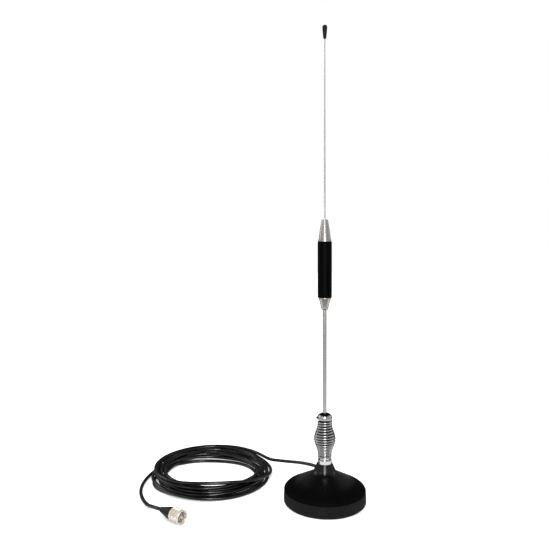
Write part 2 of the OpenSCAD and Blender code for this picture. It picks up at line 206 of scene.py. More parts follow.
def settle(start):
    """Distance out and height of every strand, after all the rounds."""
    place = start.copy()
    inner_wall, outer_wall = RING_OUT - RING_WIDTH + CABLE_D / 2, RING_OUT - CABLE_D / 2
    for k in range(ROUNDS):
        place[1:, 1] -= SINK
        push = np.zeros_like(place)
        for lag in range(SLICES, len(place), SLICES):
            across = place[lag:] - place[:-lag]
            distance = np.maximum(np.linalg.norm(across, axis=1, keepdims=True), 1e-3)
            push_out = across * np.clip(APART - distance, 0, None) / distance * SHARE
            push[lag:] += push_out
            push[:-lag] -= push_out
        shift = place + push - start
        limp = LIMP if k < LIMP_ROUNDS else STIFF
        shift[1:-1] += limp * (shift[:-2] + shift[2:] - 2 * shift[1:-1])
        place = start + shift
        place[:, 0] = place[:, 0].clip(inner_wall, outer_wall)
        place[:, 1] = place[:, 1].clip(CABLE_D / 2, coil_high.z - CABLE_D / 2)
        place[0] = start[0]
        place[-1] = (last_r, tail_route[0][2])
    return place


strand = settle(strand)
closest = min(
    np.linalg.norm(strand[lag:] - strand[:-lag], axis=1).min()
    for lag in range(SLICES, len(strand), SLICES)
)
out, up = strand.T
coil_points = np.column_stack([coil_mid.x + out * np.cos(angle), coil_mid.y + out * np.sin(angle), up])
print("the closest two strands are", round(float(closest), 2), "mm apart, centre to centre")

# %% [markdown]
# ## One curve for the whole cable
# A Bezier curve with automatic handles runs smoothly through all the points, and its bevel
# gives it a round section. It stays a curve, because a curve keeps its own centreline and
# has a UV map that runs round and along it, which its finish needs. The point where the lead
# meets the coil is left out, so that the cable eases into its first turn without a corner.


# %% The cable
def curve_piece(name, points, thickness):
    """A round cord through the points, which are in millimetres."""
    data = bpy.data.curves.new(name, "CURVE")
    data.dimensions = "3D"
    data.resolution_u = 5
    data.bevel_depth = thickness / 2 * MM
    data.bevel_resolution = 4
    data.use_fill_caps = True
    spline = data.splines.new("BEZIER")
    spline.bezier_points.add(len(points) - 1)
    for knot, point in zip(spline.bezier_points, points):
        knot.co = Vector(point) * MM
        knot.handle_left_type = knot.handle_right_type = "AUTO"
    return added(name, data)


cable_points = np.vstack([lead_route[:-1], coil_points[2:], tail_route[1:], in_boot])
coax_cable = curve_piece("coax_cable", cable_points, CABLE_D)
cable_length = float(np.linalg.norm(np.diff(cable_points, axis=0), axis=1).sum()) * MM
print("about", round(cable_length, 2), "m of cable")


# %% [markdown]
# ## Arithmetic on sockets
# A finish or a shape made of nodes is mostly sums. Wiring each Math node by hand hides the
# sum, so a small class wraps a node's output and overloads the operators: an expression
# such as `1 - mask * 0.5` adds its own Math nodes. The same class serves shaders and
# geometry, because both kinds of tree share the Math node.


# %% Sockets that add up
class Value:
    """An output of a node. Arithmetic on it adds Math nodes to its graph."""

    def __init__(self, graph, socket):
        self.graph = graph
        self.socket = socket

    def math(self, operation, *values):
        return self.graph.math(operation, *values)

    def __add__(self, other):
        return self.math("ADD", self, other)

    def __sub__(self, other):
        return self.math("SUBTRACT", self, other)

    def __rsub__(self, other):
        return self.math("SUBTRACT", other, self)

    def __mul__(self, other):
        return self.math("MULTIPLY", self, other)

    def __truediv__(self, other):
        return self.math("DIVIDE", self, other)

    def __pow__(self, other):
        return self.math("POWER", self, other)

    __radd__ = __add__
    __rmul__ = __mul__

    def cos(self):
        return self.math("COSINE", self)

    def sin(self):
        return self.math("SINE", self)

    def between(self, least, most):
        return self.math("MINIMUM", self.math("MAXIMUM", self, least), most)


class Graph:
    """A node tree with one method that adds any node to it."""

    def __init__(self, tree):
        self.tree = tree
        tree.nodes.clear()

    def node(self, kind, settings=None, inputs=None, output=0):
        made = self.tree.nodes.new(kind)
        for name, value in (settings or {}).items():
            setattr(made, name, value)
        for name, value in (inputs or {}).items():
            if isinstance(value, Value):
                self.tree.links.new(value.socket, made.inputs[name])
            else:
                made.inputs[name].default_value = value
        return Value(self, made.outputs[output]) if len(made.outputs) else made

    def math(self, operation, *values):
        return self.node("ShaderNodeMath", {"operation": operation}, dict(enumerate(values)))

    def mask(self, value, start, end, low=0.0, high=1.0):
        """Eases from low, where value is start, to high, where it is end."""
        sizes = {"Value": value, "From Min": start, "From Max": end, "To Min": low, "To Max": high}
        return self.node("ShaderNodeMapRange", {"interpolation_type": "SMOOTHSTEP"}, sizes)

    def vector(self, x, y, z):
        return self.node("ShaderNodeCombineXYZ", None, {"X": x, "Y": y, "Z": z})

    def part(self, vector, axis):
        """The X, Y or Z of a vector."""
        return self.node("ShaderNodeSeparateXYZ", None, {0: vector}, axis)


print("sockets can be added, multiplied and clipped")

# %% [markdown]
# ## Finishes
# Every finish starts from the same few things: where a point is in millimetres, noise whose
# grain is given in millimetres and can be stretched along one direction, and a bump whose
# depth is given in millimetres. The place is the object's own coordinate. For a piece whose
# axis isn't Z, such as the plug, it is turned into that piece's own frame first, so that
# turned marks run round it.


# %% A graph for one finish
def tone(red, green, blue):
    """A display colour, from 0 to 255, as linear light."""
    parts = [v / 255 for v in (red, green, blue)]
    return tuple(v / 12.92 if v < 0.04 else ((v + 0.055) / 1.055) ** 2.4 for v in parts) + (1,)


def shade(colour, by, plus=0):
    """The colour multiplied by one number, with another added."""
    return tuple(by * v + plus for v in colour[:3]) + (1,)


class Finish(Graph):
    """A material and the patterns that its surface is made of."""

    def __init__(self, name, about=None):
        self.material = bpy.data.materials.new(name)
        self.material.use_nodes = True
        super().__init__(self.material.node_tree)
        self.place = self.node("ShaderNodeTexCoord", output="Object")
        if about is not None:
            turned = {"Vector": self.place, "Location": about.translation, "Rotation": about.to_euler()}
            self.place = self.node("ShaderNodeMapping", {"vector_type": "TEXTURE"}, turned)

    def axis(self, name):
        """X, Y or Z of the point, in millimetres."""
        return self.part(self.place, name) / MM

    def grain(self, size, stretch=(1, 1, 1), detail=2, at=None):
        """Noise from 0 to 1 with that grain in millimetres. A small stretch draws it out."""
        if at is None:
            at = self.node("ShaderNodeVectorMath", {"operation": "MULTIPLY"}, {0: self.place, 1: stretch})
        inputs = {"Vector": at, "Scale": 1 / (size * MM), "Detail": detail}
        return self.node("ShaderNodeTexNoise", None, inputs, "Fac")

    def patches(self, size, start, end, stretch=(1, 1, 1), detail=2):
        """Patches of 1 on 0, with the noise cut off softly between start and end."""
        return self.mask(self.grain(size, stretch, detail), start, end)

    def blend(self, amount, a, b):
        """Colour a where amount is 0 and b where it is 1."""
        mixed = {"Factor": amount, 6: a, 7: b}
        return self.node("ShaderNodeMix", {"data_type": "RGBA"}, mixed, 2)

    def bump(self, height, depth):
        """Height from 0 to 1 that stands depth millimetres proud."""
        return self.node("ShaderNodeBump", None, {"Height": height, "Distance": depth * MM}, "Normal")

    def surface(self, colour, roughness, normal, metallic=0.0, shine=0.5, **more):
        """The finished material. Shine is how much a surface that isn't metal reflects."""
        inputs = {"Base Color": colour, "Roughness": roughness, "Metallic": metallic, "Normal": normal}
        inputs["Specular IOR Level"] = shine
        shader = self.node("ShaderNodeBsdfPrincipled", None, {**inputs, **more})
        self.node("ShaderNodeOutputMaterial", None, {"Surface": shader})
        return self.material


print("a finish is a graph with grains, masks and bumps")

# %% [markdown]
# ## Metal finishes
# Chrome, nickel, brass and drawn steel differ less in colour than in the marks that the
# tool left. A lathe leaves rings, a drawing die leaves lines along the rod, and a barrel
# tumbler leaves none. One function takes the direction of the marks and makes all of them.
# Handling leaves cloudy patches that are a little rougher, and fine scratches cross both.

# %% Metals
TURNED = (0.02, 0.02, 1)
DRAWN = (1, 1, 0.004)


def metal(name, colour, roughness, marks, depth=0.001, grain=0.3, about=None, painted_shade_radius=0, metallic=1.0):
    """Metal with tool marks that are stretched by marks and stand depth millimetres proud.
    Nearer the Z axis than the shading radius, in millimetres, it turns a dark grey: painted shade, the
    shade inside the spring."""
    finish = Finish(name, about)
    lines = finish.grain(grain, marks, detail=3)
    fine = finish.grain(grain / 4, marks, detail=1)
    cloud = finish.patches(5, 0.42, 0.68, detail=4)
    scratch = finish.patches(0.5, 0.66, 0.72, (1, 0.06, 0.3), detail=1)
    tint = finish.blend(cloud * 0.3 + lines * 0.3, colour, shade(colour, 0.82))
    # Painted shade: nearer the axis than the shading radius the colour eases to a dark grey, the shade
    # inside the spring.
    if painted_shade_radius:
        from_axis = (finish.axis("X") ** 2 + finish.axis("Y") ** 2) ** 0.5
        tint = finish.blend(finish.mask(from_axis, painted_shade_radius + 0.4, painted_shade_radius), tint, tone(52, 50, 51))
    return finish.surface(
        tint,
        (roughness + cloud * 0.04 + (lines - 0.5) * 0.1 + scratch * 0.05).between(0.03, 1),
        finish.bump(lines * 0.7 + fine * 0.3 - scratch * 0.4, depth),
        metallic,
    )


chrome = metal("chrome", tone(232, 232, 234), 0.1, TURNED, depth=0.0004, grain=0.5)
# The head's chrome carries painted shade: dark grey within 8.2 mm of the axis, inside the spring.
head_chrome = metal("head_chrome", tone(226, 226, 228), 0.12, TURNED, depth=0.0004, grain=0.5, painted_shade_radius=8.2)
satin_nickel = metal("satin_nickel", tone(214, 209, 204), 0.27, TURNED, depth=0.0004, grain=0.4)
drawn_rod = metal("drawn_rod", tone(212, 212, 213), 0.22, DRAWN, depth=0.0002, grain=0.6)
turned_brass = metal("turned_brass", tone(214, 178, 104), 0.24, TURNED)
tinned_copper = metal("tinned_copper", tone(196, 190, 180), 0.34, (1, 0.2, 1))
dark_steel = metal("dark_steel", tone(62, 62, 66), 0.36, TURNED)
bare_copper = metal("bare_copper", tone(200, 118, 80), 0.28, (1, 1, 0.05))
# Painted shade: the braid's copper is a dark brown, the shade inside the spring painted on the copper.
dull_copper = metal("dull_copper", tone(64, 50, 44), 0.42, (1, 1, 0.3), depth=0.01)
print("nine metals")

# %% [markdown]
# ## Plated sheet, sintered magnet and foam
# These sit inside the foot, where only a taken-apart antenna shows them, and each has its
# own look. Zinc plating has a bluish bloom with yellowish clouds. A ferrite magnet is a dark
# ceramic, ground flat, with pores and fine pale dust. The pad is a closed-cell foam.

# %% Finishes inside the foot


def zinc_plate():
    finish = Finish("zinc_plate")
    rolling = finish.grain(0.4, (0.03, 1, 1), detail=3)
    bloom = finish.patches(9, 0.35, 0.7, detail=4)
    return finish.surface(
        finish.blend(bloom, tone(168, 172, 180), tone(190, 184, 160)),
        0.32 + bloom * 0.12 + rolling * 0.1,
        finish.bump(rolling, 0.006),
        metallic=1.0,
    )


def sintered_ferrite():
    finish = Finish("sintered_ferrite")
    pore = finish.patches(0.5, 0.62, 0.72, detail=3)
    ground = finish.grain(0.3, (1, 0.05, 1))
    dust = finish.patches(2.5, 0.55, 0.8, detail=5)
    colour = finish.blend(dust, tone(46, 46, 49), tone(74, 72, 70))
    return finish.surface(
        finish.blend(pore, colour, tone(24, 24, 26)),
        0.55 + dust * 0.25,
        finish.bump(ground * 0.4 - pore, 0.03),
        metallic=0.15,
    )


def closed_cell_foam():
    finish = Finish("closed_cell_foam")
    inputs = {"Vector": finish.place, "Scale": 1 / (0.9 * MM)}
    cell = finish.node("ShaderNodeTexVoronoi", {"feature": "DISTANCE_TO_EDGE"}, inputs)
    wall = 1 - finish.mask(cell, 0.02, 0.14)
    rubbed = finish.patches(12, 0.45, 0.7, detail=4)
    colour = finish.blend(rubbed, tone(34, 34, 35), tone(52, 51, 50))
    return finish.surface(colour, 0.78 + rubbed * 0.1, finish.bump(wall, 0.08))


plated_steel = zinc_plate()
ferrite = sintered_ferrite()
pad_foam = closed_cell_foam()
print("zinc plate, ferrite and foam")

# %% [markdown]
# ## Plastics and rubbers
# A moulded skin has three scales of detail: slow waves from the mould, a fine grain, and
# dust or scuffs from use. Gloss black plastic shows the waves most, as a slight orange peel
# in its reflections. Rubber shows the grain, and holds dust, more so near the table.


# %% Mouldings
def moulding(name, colour, roughness, peel, depth, dust=0.1, about=None, gloss=None, **more):
    """A moulded skin: peel is its grain in millimetres and depth how far that stands proud.
    Above the height gloss, in millimetres, it still has the polish of the mould."""
    finish = Finish(name, about)
    waves = finish.grain(peel, detail=3)
    slow = finish.grain(14, detail=2)
    speck = finish.patches(0.45, 0.72, 0.8, detail=1)
    film = finish.patches(7, 0.45, 0.8, detail=5)
    scuff = finish.patches(1.2, 0.6, 0.7, (0.1, 1, 0.4), detail=4)
    if gloss is not None:
        polish = finish.mask(finish.axis("Z") - film * 2, gloss - 3, gloss + 4)
        more["Coat Weight"] = polish * (1 - scuff * 0.3)
        more["Coat Roughness"] = 0.14
    filmed = finish.blend(film * 0.5, colour, shade(colour, 1.5, dust * 0.03))
    dusted = finish.blend(speck * dust, filmed, tone(120, 116, 108))
    return finish.surface(
        dusted,
        (roughness + film * 0.08 + scuff * 0.1 + speck * dust).between(0.05, 1),
        finish.bump(waves * 0.8 + slow * 0.6, depth),
        **more,
    )


gloss_black = moulding("gloss_black", tone(5, 5, 6), 0.4, 2.2, 0.006, dust=0.01, gloss=31, shine=0.02)
band_rubber = moulding("band_rubber", tone(19, 19, 19), 0.55, 0.5, 0.03, dust=0.05, shine=0.1)
tip_rubber = moulding("tip_rubber", tone(8, 8, 9), 0.42, 0.6, 0.02, shine=0.3)
gland_rubber = moulding("gland_rubber", tone(12, 12, 13), 0.5, 0.5, 0.02)
nylon = moulding("nylon", tone(222, 220, 210), 0.4, 1.5, 0.02, **{"Subsurface Weight": 0.1})
print("gloss black, three rubbers and nylon")


# %% [markdown]
# ## The cable's jacket
# A coax jacket is glossy PVC drawn tight over a woven braid, and the weave shows through as
# a faint criss-cross. The pattern has to follow the cable round its bends, so it reads the
# curve's own UV map: one direction runs round the jacket and the other along it. Two sets
# of slanted waves make the weave, and coiling has left dull rubbed streaks.

# %% Cable jacket
WEAVE = 5.2
STRANDS_ROUND = 8


def cable_jacket(length):
    """PVC over braid, on the UV map of a round cord that is length metres long."""
    finish = Finish("cable_jacket")
    uv = finish.node("ShaderNodeUVMap")
    across = finish.part(uv, "X")
    along = finish.part(uv, "Y")
    waves_round = TAU * STRANDS_ROUND
    waves_along = TAU * length / (WEAVE * MM)
    one_way = (across * waves_round + along * waves_along).sin()
    other_way = (across * waves_round - along * waves_along).sin()
    weave = (one_way * other_way + 1) * 0.5
    rubbed = finish.patches(3.5, 0.52, 0.75, detail=4)
    streak = finish.patches(0.9, 0.6, 0.72, (0.25, 0.25, 1), detail=3)
    colour = finish.blend(rubbed * 0.7, tone(4, 4, 5), tone(10, 10, 10))
    return finish.surface(
        colour,
        0.2 + rubbed * 0.1 + streak * 0.06,
        finish.bump(weave * 0.6 + finish.grain(2.5) * 0.4, 0.003),
        shine=0.8,
    )


cable_finish = cable_jacket(cable_length)
print("jacket with a weave every", WEAVE, "mm")

# %% [markdown]
# ## Wire finishes
# Drawn wire carries its die lines round every turn of a coil, so the lines can't follow an
# axis. The coil shapes below store two numbers on each point, how far along the wire it is
# and where it is round the wire, and this finish stretches its noise along the first.

# %% Wire that knows its own length


def wire(name, colour, roughness, metallic=1.0, depth=0.004, **more):
    finish = Finish(name)
    along = finish.node("ShaderNodeAttribute", {"attribute_name": "along"}, output="Fac")
    across = finish.node("ShaderNodeAttribute", {"attribute_name": "around"}, output="Fac")
    angle = across * 6.28
    on_wire = finish.vector(along * (0.03 * MM), angle.cos() * MM, angle.sin() * MM)
    line = finish.grain(0.3, at=on_wire, detail=3)
    cloud = finish.patches(4, 0.45, 0.7, detail=4)
    return finish.surface(
        finish.blend(cloud * 0.5 + line * 0.4, colour, shade(colour, 0.72)),
        (roughness + line * 0.12 + cloud * 0.08).between(0.05, 1),
        finish.bump(line, depth),
        metallic=metallic,
        **more,
    )


spring_wire = wire("spring_wire", tone(220, 219, 220), 0.16, depth=0.001)
coil_enamel = wire("coil_enamel", tone(150, 62, 30), 0.3, metallic=0.6, **{"Coat Weight": 0.8})
print("spring wire and enamelled copper")

# %% [markdown]
# ## The sleeve over the loading coil
# The sleeve is shrunk tight over a winding, so the turns below show through as soft swells,
# and the shrinking leaves faint lengthwise draws. The swells follow Z, at the winding's own
# pitch.

# %% Shrunk sleeve
WINDING_TURNS = 12
winding_low = low("loading_coil")
winding_rise = high("loading_coil") - winding_low


def shrunk_sleeve():
    finish = Finish("shrunk_sleeve")
    turns = (finish.axis("Z") - winding_low) * (TAU * WINDING_TURNS / winding_rise)
    swell = (turns.cos() + 1) * 0.5
    draw = finish.grain(1.1, (1, 1, 0.02), detail=3)
    lint = finish.patches(0.5, 0.74, 0.8, (1, 1, 0.3), detail=1)
    colour = finish.blend(lint * 0.05, tone(2, 2, 3), tone(60, 58, 55))
    height = swell * 0.55 + draw * 0.35 + finish.grain(0.5) * 0.1
    rough = 0.3 + draw * 0.12 + lint * 0.2
    return finish.surface(colour, rough, finish.bump(height, 0.03), shine=0.04)


sleeve_plastic = shrunk_sleeve()
print("sleeve with", WINDING_TURNS, "swells")

# %% [markdown]
# ## Turned shapes
# Most of this antenna was made on a lathe, and the rest was moulded round. So one helper
# spins an outline round Z. An outline is a list of corners, each a radius and a height, and
# a third number rounds a corner off. Real edges are always broken, and it is the small
# rounds that catch the light. Two extra points beside each round keep the flats flat.

# %% A lathe


def broken(corners, closed, steps=4):
    """The corners' outline with each corner that has a third number rounded off by it."""
    points = []
    count = len(corners)
    for i, corner in enumerate(corners):
        here = Vector(corner[:2])
        at_end = not closed and i in (0, count - 1)
        if at_end or len(corner) < 3:
            points.append(here)
            continue
        before = Vector(corners[i - 1][:2]) - here
        after = Vector(corners[(i + 1) % count][:2]) - here
        trim = min(corner[2], 0.42 * before.length, 0.42 * after.length)
        start = before.normalized() * trim
        end = after.normalized() * trim
        points.append(here + start * 1.18)
        for k in range(steps + 1):
            t = k / steps
            points.append(here + start * (1 - t) ** 2 + end * t**2)
        points.append(here + end * 1.18)
    return points


def bend(a, control, b, steps=8):
    """Points on a curve that leaves a towards control and arrives at b."""
    a, control, b = Vector(a), Vector(control), Vector(b)
    shares = [k / steps for k in range(steps + 1)]
    return [tuple(a.lerp(control, t).lerp(control.lerp(b, t), t)) for t in shares]


def finished(name, mesh, material, sharp=38):
    """A smooth-shaded object for a mesh, with its sharper edges kept sharp."""
    mesh.materials.clear()
    mesh.materials.append(material)
    mesh.polygons.foreach_set("use_smooth", [True] * len(mesh.polygons))
    mesh.set_sharp_from_angle(angle=math.radians(sharp))
    return added(name, mesh)


def spun(corners, closed=False, around=96, place=None):
    """The outline's corners spun round Z, in a bmesh, in metres."""
    outline = broken(corners, closed)
    shape = bmesh.new()
    turns = [TAU * k / around for k in range(around)]
    rings = [
        [shape.verts.new((r * math.cos(a) * MM, r * math.sin(a) * MM, z * MM)) for a in turns]
        for r, z in outline
    ]
    for one, two in zip(rings, rings[1:] + rings[:1] if closed else rings[1:]):
        for k in range(around):
            shape.faces.new((one[k], one[(k + 1) % around], two[(k + 1) % around], two[k]))
    bmesh.ops.remove_doubles(shape, verts=shape.verts, dist=1e-6)
    bmesh.ops.recalc_face_normals(shape, faces=shape.faces)
    if place is not None:
        bmesh.ops.transform(shape, matrix=place, verts=shape.verts)
    return shape


def as_mesh(name, *shapes):
    """One mesh of several bmeshes."""
    mesh = bpy.data.meshes.new(name)
    whole = bmesh.new()
    for shape in shapes:
        part = bpy.data.meshes.new("part")
        shape.to_mesh(part)
        shape.free()
        whole.from_mesh(part)
        bpy.data.meshes.remove(part)
    whole.to_mesh(mesh)
    whole.free()
    return mesh


def turned_piece(name, corners, material, closed=False, around=96, place=None, sharp=38):
    shape = spun(corners, closed, around, place)
    return finished(name, as_mesh(name, shape), material, sharp)


def fitted(piece, body, slot, *nodes):
    """The piece moves with a body and stands for CAD nodes, which it hides. The slot is not used."""
    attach(piece, body)
    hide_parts(*nodes)
    faces = len(piece.data.polygons) if piece.type == "MESH" else 0
    print(piece.name, "rides on", body, "with", faces, "faces")
    return piece


def turned_part(name, corners, material, body, slot, node, closed=False, around=96, place=None):
    """A turned piece that is fitted in place of one CAD node."""
    return fitted(turned_piece(name, corners, material, closed, around, place), body, slot, node)


print("a lathe and a way to fit what it makes")


# %% [markdown]
# ## Shapes grown by Geometry Nodes
# Springs, windings, woven wires, knurls and threads all repeat by a rule, so each is a
# Geometry Nodes tree with named inputs for its sizes. A tree is built once and used for
# every piece of its kind: the shock spring and the loading coil are one tree with
# different numbers. The result is turned into a plain mesh and the modifier is dropped.


# %% A tree of geometry nodes
class Grower(Graph):
    """A Geometry Nodes tree. Its inputs are numbers by name, and a material: g["rise"] is
    the number called rise. All its lengths are in millimetres."""

    def __init__(self, name, *inputs):
        tree = bpy.data.node_groups.new(name, "GeometryNodeTree")
        super().__init__(tree)
        for label in inputs:
            tree.interface.new_socket(name=label, in_out="INPUT", socket_type="NodeSocketFloat")
        tree.interface.new_socket(name="Material", in_out="INPUT", socket_type="NodeSocketMaterial")
        tree.interface.new_socket(name="Geometry", in_out="OUTPUT", socket_type="NodeSocketGeometry")
        self.entry = tree.nodes.new("NodeGroupInput")

    def __getitem__(self, label):
        return Value(self, self.entry.outputs[label])

    def index(self):
        return self.node("GeometryNodeInputIndex")

    def row(self, count):
        """A row of points at the origin."""
        return self.node("GeometryNodeMeshLine", None, {"Count": count, "Offset": (0, 0, 0)})

    def wrapped(self, geometry, angle, radius, height):
        """Its points moved to an angle round Z, a radius and a height."""
        place = self.vector(angle.cos() * radius * MM, angle.sin() * radius * MM, height * MM)
        return self.node("GeometryNodeSetPosition", None, {"Geometry": geometry, "Position": place})

    def sheet(self, across, up):
        """A grid of cells, four faces each way, and how far across and up it each point is."""
        sides = {"Size X": 1, "Size Y": 1, "Vertices X": across * 4 + 1, "Vertices Y": up * 4 + 1}
        grid = self.node("GeometryNodeMeshGrid", None, sides)
        spot = self.node("GeometryNodeInputPosition")
        return grid, self.part(spot, "X") + 0.5, self.part(spot, "Y") + 0.5

    def closed(self, geometry, gap):
        """Points that are less than the gap apart become one, which shuts a seam."""
        return self.node("GeometryNodeMergeByDistance", None, {"Geometry": geometry, "Distance": gap * MM})

    def stored(self, geometry, name, value):
        inputs = {"Geometry": geometry, "Name": name, "Value": value}
        return self.node("GeometryNodeStoreNamedAttribute", None, inputs)

    def as_wire(self, line, along, wire_r, sides):
        """A closed round wire that follows a line of points."""
        curve = self.node("GeometryNodeMeshToCurve", None, {0: self.stored(line, "along", along)})
        inputs = {"Resolution": sides, "Radius": wire_r * MM}
        section = self.node("GeometryNodeCurvePrimitiveCircle", None, inputs)
        section = self.stored(section, "around", self.index() / sides)
        inputs = {"Curve": curve, "Profile Curve": section, "Fill Caps": True}
        return self.node("GeometryNodeCurveToMesh", None, inputs)

    def finish(self, geometry, smooth=True):
        real = self.node("GeometryNodeRealizeInstances", None, {0: geometry})
        shaded = self.node("GeometryNodeSetShadeSmooth", None, {"Geometry": real, "Shade Smooth": smooth})
        inputs = {"Geometry": shaded, "Material": self["Material"]}
        dressed = self.node("GeometryNodeSetMaterial", None, inputs)
        end = self.tree.nodes.new("NodeGroupOutput")
        self.tree.links.new(dressed.socket, end.inputs[0])
        return self.tree


def plain_mesh(piece):
    """The piece keeps the shape that its modifiers give, and drops them."""
    mesh = bpy.data.meshes.new_from_object(piece.evaluated_get(bpy.context.evaluated_depsgraph_get()))
    piece.modifiers.clear()
    piece.data = mesh
    mesh.name = piece.name


def grown(name, tree, material, place=None, **sizes):
    """A plain mesh object made by the tree. Sizes are its named inputs, with _ for a space."""
    piece = added(name, bpy.data.meshes.new(name))
    modifier = piece.modifiers.new("shape", "NODES")
    modifier.node_group = tree
    values = {label.replace("_", " "): float(value) for label, value in sizes.items()}
    values["Material"] = material
    for item in tree.interface.items_tree:
        if item.in_out == "INPUT":
            modifier[item.identifier] = values[item.name]
    plain_mesh(piece)
    if place is not None:
        piece.data.transform(place)
    return piece


print("a grower makes plain meshes from node trees")

# %% [markdown]
# ## The coil tree
# A point's place on a coil follows from one number, the turn that it is on. The height
# climbs by the open pitch, less what is saved over the turns that lie close together. The
# radius runs from foot to head with a cosine swell for the belly. A row of points takes
# those places, becomes a curve and gets a round section. First and last turn are inputs,
# so that one spring can be made in two halves that meet exactly.

# %% Coil tree
PER_TURN = 48
BARREL_SIZES = (
    "rise from", "rise", "foot radius", "head radius", "belly", "belly height", "belly reach",
)


def barrel(g, height):
    """The radius at a height: it runs from foot to head, with a cosine swell for the belly."""
    share = (height - g["rise from"]) / g["rise"]
    off = g.math("ABSOLUTE", height - g["belly height"]) / g["belly reach"]
    swell = ((off.between(0, 1) * math.pi).cos() + 1) * (g["belly"] / 4)
    return g["foot radius"] + (g["head radius"] - g["foot radius"]) * share + swell


def coil_tree():
    g = Grower(
        "coil", "first turn", "last turn", "pitch", "saved pitch", "close from", "close turns",
        "wire radius", "sides", *BARREL_SIZES,
    )
    turns = g["last turn"] - g["first turn"]
    steps = g.math("ROUND", turns * PER_TURN)
    on_turn = g["first turn"] + turns * g.index() / steps
    saved = (on_turn - g["close from"]).between(0, g["close turns"]) * g["saved pitch"]
    height = g["rise from"] + on_turn * g["pitch"] - saved
    radius = barrel(g, height)
    angle = on_turn * TAU
    line = g.wrapped(g.row(steps + 1), angle, radius, height)
    return g.finish(g.as_wire(line, angle * radius, g["wire radius"], g["sides"]))


coil = coil_tree()
print("coil tree with", len(coil.nodes), "nodes")

# %% [markdown]
# ## The shock spring
# The spring lets the mast give way when it hits something. Polished wire, closely wound
# near the foot and open above, swells to a belly. It bends along its whole length, and in
# the model it bends at two hinges, one in each half. So it is made in two halves, which
# meet partway up.

# %% Spring
WIRE_R = 1.2
FOOT_R = 10.15 - WIRE_R
HEAD_R = 10.9 - WIRE_R
SPRING_FOOT = low("barrel_spring") + WIRE_R
SPRING_RISE = high("barrel_spring") - WIRE_R - SPRING_FOOT
PITCH = 3.55
SAVED_PITCH = 1.05
CLOSE_FROM = 1.5
CLOSE_TURNS = 6
SPRING_TURNS = (SPRING_RISE + CLOSE_TURNS * SAVED_PITCH) / PITCH
BEND_MID = 92
mid_turn = (BEND_MID - SPRING_FOOT + CLOSE_TURNS * SAVED_PITCH) / PITCH
HEAD_EDGE = 122
foot_edge, bend_mid, head_edge = (
    Vector((0, 0, z * MM)) for z in (low("barrel_spring"), BEND_MID, HEAD_EDGE)
)
BELLY_Z = SPRING_FOOT + 28.5
barrel_shape = dict(
    rise_from=SPRING_FOOT, rise=SPRING_RISE, belly=11, belly_height=BELLY_Z, belly_reach=22,
)


def spring_part(name, first, last):
    return grown(
        name, coil, spring_wire, first_turn=first, last_turn=last, pitch=PITCH, saved_pitch=SAVED_PITCH,
        close_from=CLOSE_FROM, close_turns=CLOSE_TURNS, foot_radius=FOOT_R, head_radius=HEAD_R,
        wire_radius=WIRE_R, sides=16, **barrel_shape,
    )


def bending(piece, body_a, body_b, start, end, slot, *nodes):
    """The piece's place is baked into its mesh, and it stands for CAD nodes, which it hides."""
    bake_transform(piece)
    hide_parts(*nodes)
    print(piece.name, "bends from", body_a, "to", body_b)


spring_lower = spring_part("spring_lower_half", 0, mid_turn)
spring_upper = spring_part("spring_upper_half", mid_turn, SPRING_TURNS)
bending(spring_lower, "base", "spring", foot_edge, bend_mid, "spring_steel", "barrel_spring")
bending(spring_upper, "spring", "spring_top", bend_mid, head_edge, "spring_steel", "barrel_spring")
print(round(SPRING_TURNS, 2), "turns of spring")

# %% [markdown]
# ## The braid inside the spring
# A spring is a poor conductor for radio, so a woven copper sleeve lines it and carries the
# current past it. Seen between the turns, it fills the gaps, and its copper is coloured a
# dark brown, which is painted shade, the shade inside the spring. A grid is wrapped into a
# barrel a little inside the wire, and lifted where strands run: two sets of ridges lean
# opposite ways, and which set is on top changes at every crossing.

# %% Braid
STRANDS = 30
LINER_CLEAR = 1.2
BRAID_R = FOOT_R - WIRE_R - LINER_CLEAR, HEAD_R - WIRE_R - LINER_CLEAR


def braid_tree():
    g = Grower("braid", "low", "high", "rows", *BARREL_SIZES)
    grid, x, y = g.sheet(STRANDS, g["rows"])
    height = g["low"] + (g["high"] - g["low"]) * y
    right = x * STRANDS + y * g["rows"]
    left = x * STRANDS - y * g["rows"]
    crossing = (g.math("FLOOR", right) * math.pi).cos() * (g.math("FLOOR", left) * math.pi).cos()
    crowns = [g.math("ABSOLUTE", (way * math.pi).sin()) for way in (right, left)]
    lift = g.math("MAXIMUM", crowns[0] + crossing * 0.3, crowns[1] - crossing * 0.3) * 0.35
    rolled = g.wrapped(grid, x * TAU, barrel(g, height) + lift - 0.4, height)
    return g.finish(g.closed(rolled, 0.001))


braid = braid_tree()
braid_ends = (low("spring_braid"), BEND_MID, high("spring_braid"))
braid_halves = [
    ("braid_lower_half", 10, "base", "spring", foot_edge, bend_mid),
    ("braid_upper_half", 8, "spring", "spring_top", bend_mid, head_edge),
]
for half, (name, rows, body_a, body_b, start, end) in enumerate(braid_halves):
    part = grown(
        name, braid, dull_copper, low=braid_ends[half], high=braid_ends[half + 1], rows=rows,
        foot_radius=BRAID_R[0], head_radius=BRAID_R[1], **barrel_shape,
    )
    bending(part, body_a, body_b, start, end, "copper", "spring_braid")
print(2 * STRANDS, "strands woven")


# %% [markdown]
# ## The foot
# The cover is one black moulding: a steep neck that the antenna bolts to, a long shallow
# cone, and a rounded shoulder down to the rim. It is a real shell, so the outline goes down
# the outside and back up the inside. Three bosses inside take the screws of the base plate.
# A rubber band wraps the rim and hooks under it with a lip.

# %% Cover and band
NECK_R = 11.6
NECK_BORE = 6.5
BOSS_AT = 51
cover_low, neck_top = low("base_cover"), high("base_cover")
rim_r = reach("base_band")
band_low, band_top = low("base_band"), high("base_band")
neck_foot = (NECK_R + 5.4, neck_top - 12.5)
shoulder = (rim_r - 0.2, band_top + 4)
inner_r = reach("steel_plate") + 0.1


def along(a, b, t):
    return tuple(Vector(a).lerp(Vector(b), t))


